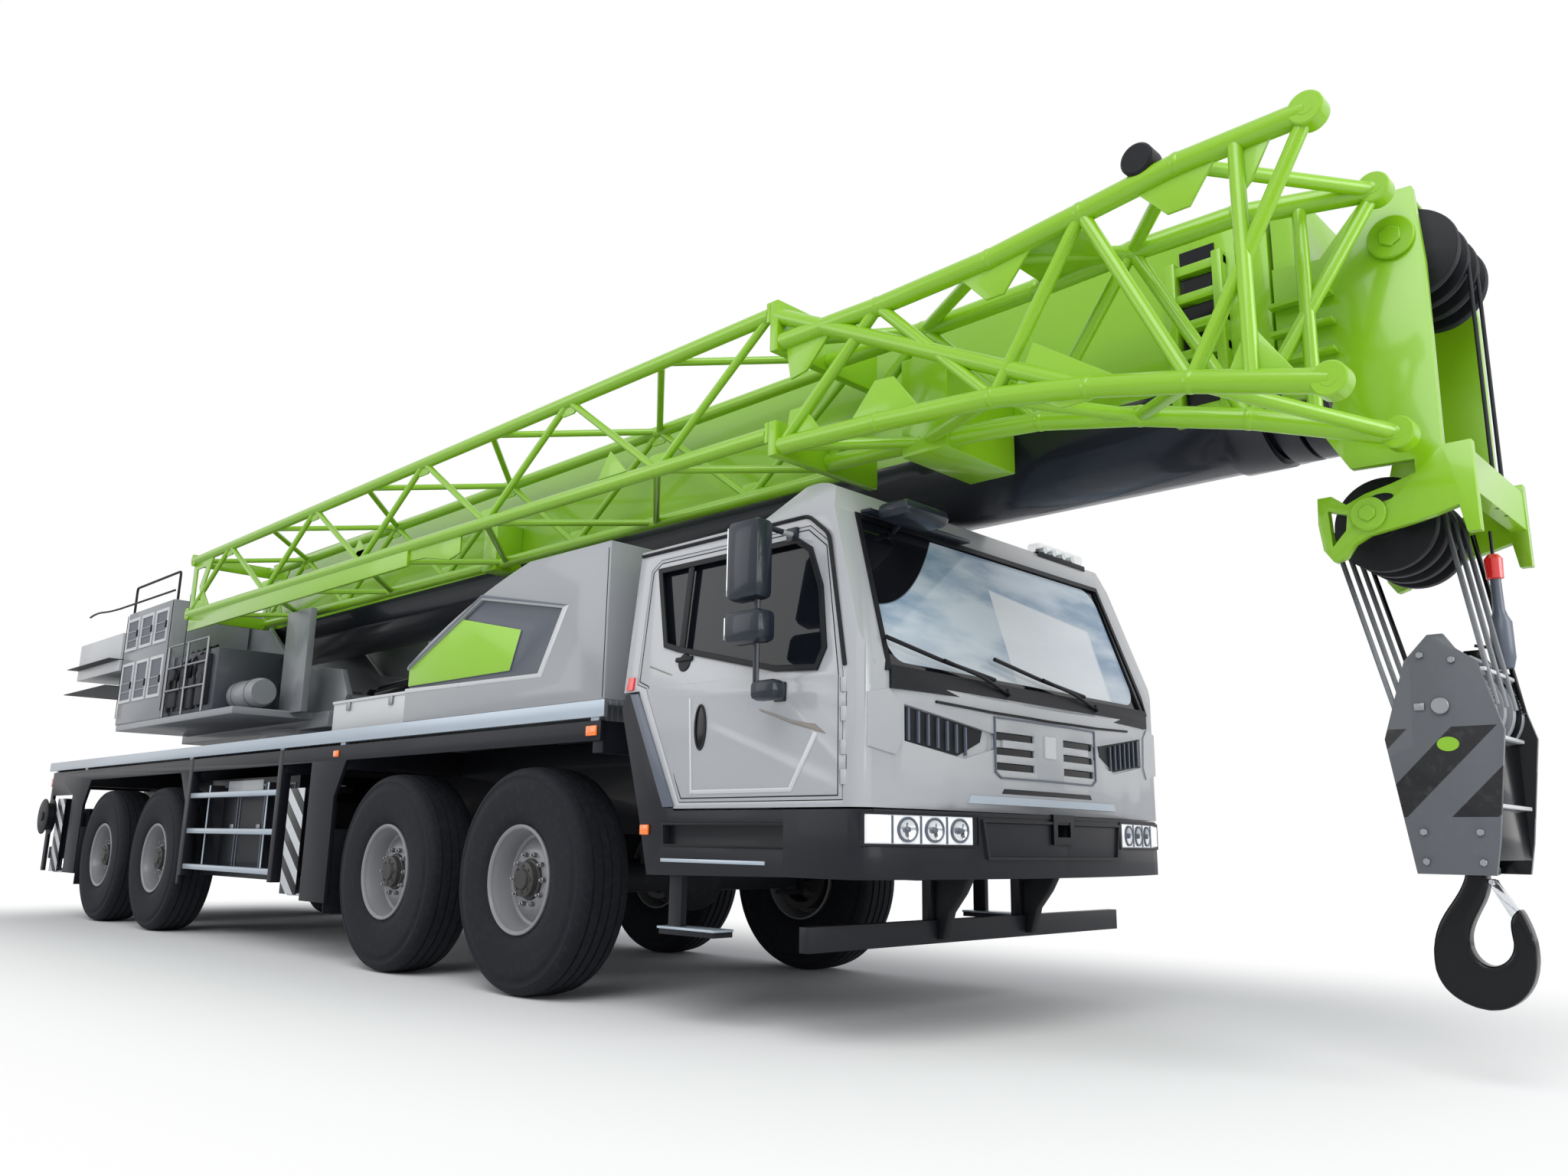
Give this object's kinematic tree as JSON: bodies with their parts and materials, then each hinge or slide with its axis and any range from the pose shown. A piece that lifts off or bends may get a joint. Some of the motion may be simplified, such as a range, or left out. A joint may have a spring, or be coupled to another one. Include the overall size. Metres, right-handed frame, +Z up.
{
  "type": "four axle mobile crane",
  "caption": "Truck mounted telescopic crane with a full width cab, stowed lattice jib, slewing superstructure, outriggers and a hook block.",
  "frame": {"origin": "on the ground, under the middle of the whole crane's bounding box", "axes": "+X forward along the vehicle, +Y to its left, +Z up"},
  "size_m": [15.64, 3.5, 3.9839],
  "materials": {
    "frame_black": "satin navy black paint",
    "deck_plate": "painted deck with pale silver edge bands",
    "cab_paint": "gloss warm light grey paint",
    "boom_green": "gloss lime green paint",
    "body_grey": "satin grey paint",
    "cylinder_black": "gloss black paint",
    "rod_chrome": "polished rod",
    "tyre_rubber": "moulded black rubber",
    "rim_grey": "satin grey wheel paint",
    "glass": "tinted window glass",
    "trim_black": "moulded black trim",
    "lamp_lens": "lamp lenses",
    "cast_dark": "dark castings",
    "steel": "bare steel"
  },
  "bodies": {
    "carrier": {"chassis_frame": "frame_black", "deck": "deck_plate", "side_lockers": "body_grey", "engine_fairings": "cab_paint", "engine_block": "cast_dark", "cab_shell": "cab_paint", "cab_glass": "glass", "cab_interior": "trim_black", "bumper_and_skirts": "frame_black", "lamps": "lamp_lens", "axle_beams": "cast_dark"},
    "cab_door_left": {"door_left": "cab_paint", "door_glass_left": "glass"},
    "cab_door_right": {"door_right": "cab_paint", "door_glass_right": "glass"},
    "wheel_1_left": {"tyre_1_left": "tyre_rubber", "rim_1_left": "rim_grey"},
    "steering_1_left": {"knuckle_1_left": "cast_dark"},
    "wheel_1_right": {"tyre_1_right": "tyre_rubber", "rim_1_right": "rim_grey"},
    "steering_1_right": {"knuckle_1_right": "cast_dark"},
    "wheel_2_left": {"tyre_2_left": "tyre_rubber", "rim_2_left": "rim_grey"},
    "steering_2_left": {"knuckle_2_left": "cast_dark"},
    "wheel_2_right": {"tyre_2_right": "tyre_rubber", "rim_2_right": "rim_grey"},
    "steering_2_right": {"knuckle_2_right": "cast_dark"},
    "wheel_3_left": {"tyre_3_left": "tyre_rubber", "rim_3_left": "rim_grey"},
    "wheel_3_right": {"tyre_3_right": "tyre_rubber", "rim_3_right": "rim_grey"},
    "wheel_4_left": {"tyre_4_left": "tyre_rubber", "rim_4_left": "rim_grey"},
    "wheel_4_right": {"tyre_4_right": "tyre_rubber", "rim_4_right": "rim_grey"},
    "outrigger_front_left": {"outrigger_beam_front_left": "frame_black"},
    "jack_front_left": {"outrigger_jack_front_left": "rod_chrome"},
    "outrigger_front_right": {"outrigger_beam_front_right": "frame_black"},
    "jack_front_right": {"outrigger_jack_front_right": "rod_chrome"},
    "outrigger_rear_left": {"outrigger_beam_rear_left": "frame_black"},
    "jack_rear_left": {"outrigger_jack_rear_left": "rod_chrome"},
    "outrigger_rear_right": {"outrigger_beam_rear_right": "frame_black"},
    "jack_rear_right": {"outrigger_jack_rear_right": "rod_chrome"},
    "superstructure": {"turntable": "body_grey", "winches": "steel", "machinery_house": "body_grey", "operator_cab": "cab_paint", "operator_glass": "glass", "counterweight": "body_grey"},
    "operator_sliding_door": {"operator_door": "cab_paint"},
    "boom": {"boom_base": "boom_green", "jib_base": "boom_green", "jib_tip": "boom_green"},
    "luff_cylinder": {"luff_barrel": "cylinder_black"},
    "luff_piston": {"luff_rod": "rod_chrome"},
    "telescope_2": {"boom_section_2": "boom_green"},
    "telescope_3": {"boom_section_3": "boom_green", "head_sheaves": "trim_black"},
    "hook_block": {"hook_block": "body_grey"},
    "hook": {"load_hook": "cylinder_black"}
  },
  "joints": [
    {"name": "door_left_hinge", "type": "hinge", "parent": "carrier", "child": "cab_door_left", "pos_m": [5.29, 1.496, 1.9], "axis": [0, 0, -1], "range_deg": [0, 68]},
    {"name": "door_right_hinge", "type": "hinge", "parent": "carrier", "child": "cab_door_right", "pos_m": [5.29, -1.496, 1.9], "axis": [0, 0, 1], "range_deg": [0, 68]},
    {"name": "steer_1_left", "type": "hinge", "parent": "carrier", "child": "steering_1_left", "pos_m": [2.55, 1, 0.702], "axis": [0, 0, 1], "range_deg": [-28, 28]},
    {"name": "spin_1_left", "type": "hinge", "parent": "steering_1_left", "child": "wheel_1_left", "pos_m": [2.55, 1.285, 0.702], "axis": [0, 1, 0], "continuous": true},
    {"name": "steer_1_right", "type": "hinge", "parent": "carrier", "child": "steering_1_right", "pos_m": [2.55, -1, 0.702], "axis": [0, 0, 1], "range_deg": [-28, 28]},
    {"name": "spin_1_right", "type": "hinge", "parent": "steering_1_right", "child": "wheel_1_right", "pos_m": [2.55, -1.285, 0.702], "axis": [0, 1, 0], "continuous": true},
    {"name": "steer_2_left", "type": "hinge", "parent": "carrier", "child": "steering_2_left", "pos_m": [0.83, 1, 0.702], "axis": [0, 0, 1], "range_deg": [-21, 21]},
    {"name": "spin_2_left", "type": "hinge", "parent": "steering_2_left", "child": "wheel_2_left", "pos_m": [0.83, 1.285, 0.702], "axis": [0, 1, 0], "continuous": true},
    {"name": "steer_2_right", "type": "hinge", "parent": "carrier", "child": "steering_2_right", "pos_m": [0.83, -1, 0.702], "axis": [0, 0, 1], "range_deg": [-21, 21]},
    {"name": "spin_2_right", "type": "hinge", "parent": "steering_2_right", "child": "wheel_2_right", "pos_m": [0.83, -1.285, 0.702], "axis": [0, 1, 0], "continuous": true},
    {"name": "spin_3_left", "type": "hinge", "parent": "carrier", "child": "wheel_3_left", "pos_m": [-3.93, 1.285, 0.702], "axis": [0, 1, 0], "continuous": true},
    {"name": "spin_3_right", "type": "hinge", "parent": "carrier", "child": "wheel_3_right", "pos_m": [-3.93, -1.285, 0.702], "axis": [0, 1, 0], "continuous": true},
    {"name": "spin_4_left", "type": "hinge", "parent": "carrier", "child": "wheel_4_left", "pos_m": [-5.58, 1.285, 0.702], "axis": [0, 1, 0], "continuous": true},
    {"name": "spin_4_right", "type": "hinge", "parent": "carrier", "child": "wheel_4_right", "pos_m": [-5.58, -1.285, 0.702], "axis": [0, 1, 0], "continuous": true},
    {"name": "extend_outrigger_front_left", "type": "slide", "parent": "carrier", "child": "outrigger_front_left", "axis": [0, 1, 0], "range_m": [0, 2]},
    {"name": "lower_jack_front_left", "type": "slide", "parent": "outrigger_front_left", "child": "jack_front_left", "axis": [0, 0, -1], "range_m": [0, 0.55]},
    {"name": "extend_outrigger_front_right", "type": "slide", "parent": "carrier", "child": "outrigger_front_right", "axis": [0, -1, 0], "range_m": [0, 2]},
    {"name": "lower_jack_front_right", "type": "slide", "parent": "outrigger_front_right", "child": "jack_front_right", "axis": [0, 0, -1], "range_m": [0, 0.55]},
    {"name": "extend_outrigger_rear_left", "type": "slide", "parent": "carrier", "child": "outrigger_rear_left", "axis": [0, 1, 0], "range_m": [0, 2]},
    {"name": "lower_jack_rear_left", "type": "slide", "parent": "outrigger_rear_left", "child": "jack_rear_left", "axis": [0, 0, -1], "range_m": [0, 0.55]},
    {"name": "extend_outrigger_rear_right", "type": "slide", "parent": "carrier", "child": "outrigger_rear_right", "axis": [0, -1, 0], "range_m": [0, 2]},
    {"name": "lower_jack_rear_right", "type": "slide", "parent": "outrigger_rear_right", "child": "jack_rear_right", "axis": [0, 0, -1], "range_m": [0, 0.55]},
    {"name": "slew", "type": "hinge", "parent": "carrier", "child": "superstructure", "pos_m": [-3.25, 0, 1.885], "axis": [0, 0, 1], "continuous": true},
    {"name": "operator_door_slide", "type": "slide", "parent": "superstructure", "child": "operator_sliding_door", "axis": [-1, 0, 0], "range_m": [0, 0.66]},
    {"name": "luff", "type": "hinge", "parent": "superstructure", "child": "boom", "pos_m": [-4.65, 0, 3.2], "axis": [0, -1, 0], "range_deg": [0, 78]},
    {"name": "luff_foot", "type": "hinge", "parent": "superstructure", "child": "luff_cylinder", "pos_m": [-2.35, 0, 2.3], "axis": [0, -1, 0], "range_deg": [0, 93]},
    {"name": "luff_extend", "type": "slide", "parent": "luff_cylinder", "child": "luff_piston", "axis": [0.9963, 0, 0.0854], "range_m": [0, 3.01]},
    {"name": "telescope_2_slide", "type": "slide", "parent": "boom", "child": "telescope_2", "axis": [1, 0, 0], "range_m": [0, 8.5]},
    {"name": "telescope_3_slide", "type": "slide", "parent": "telescope_2", "child": "telescope_3", "axis": [1, 0, 0], "range_m": [0, 8.5]},
    {"name": "hook_hang", "type": "hinge", "parent": "telescope_3", "child": "hook_block", "pos_m": [7.4, 0, 2.39], "axis": [0, -1, 0], "range_deg": [-78, 0]},
    {"name": "hook_swivel", "type": "hinge", "parent": "hook_block", "child": "hook", "pos_m": [7.56, 0, 0.98], "axis": [0, 0, 1], "continuous": true}
  ],
  "couplings": [
    {"joint": "steer_1_right", "follows": "steer_1_left", "ratio": 1},
    {"joint": "steer_2_left", "follows": "steer_1_left", "ratio": 0.75},
    {"joint": "steer_2_right", "follows": "steer_1_left", "ratio": 0.75},
    {"joint": "luff_foot", "follows": "luff", "ratio": 1.1487},
    {"joint": "luff_extend", "follows": "luff", "m_per_rad": 2.1711},
    {"joint": "hook_hang", "follows": "luff", "ratio": -1}
  ]
}
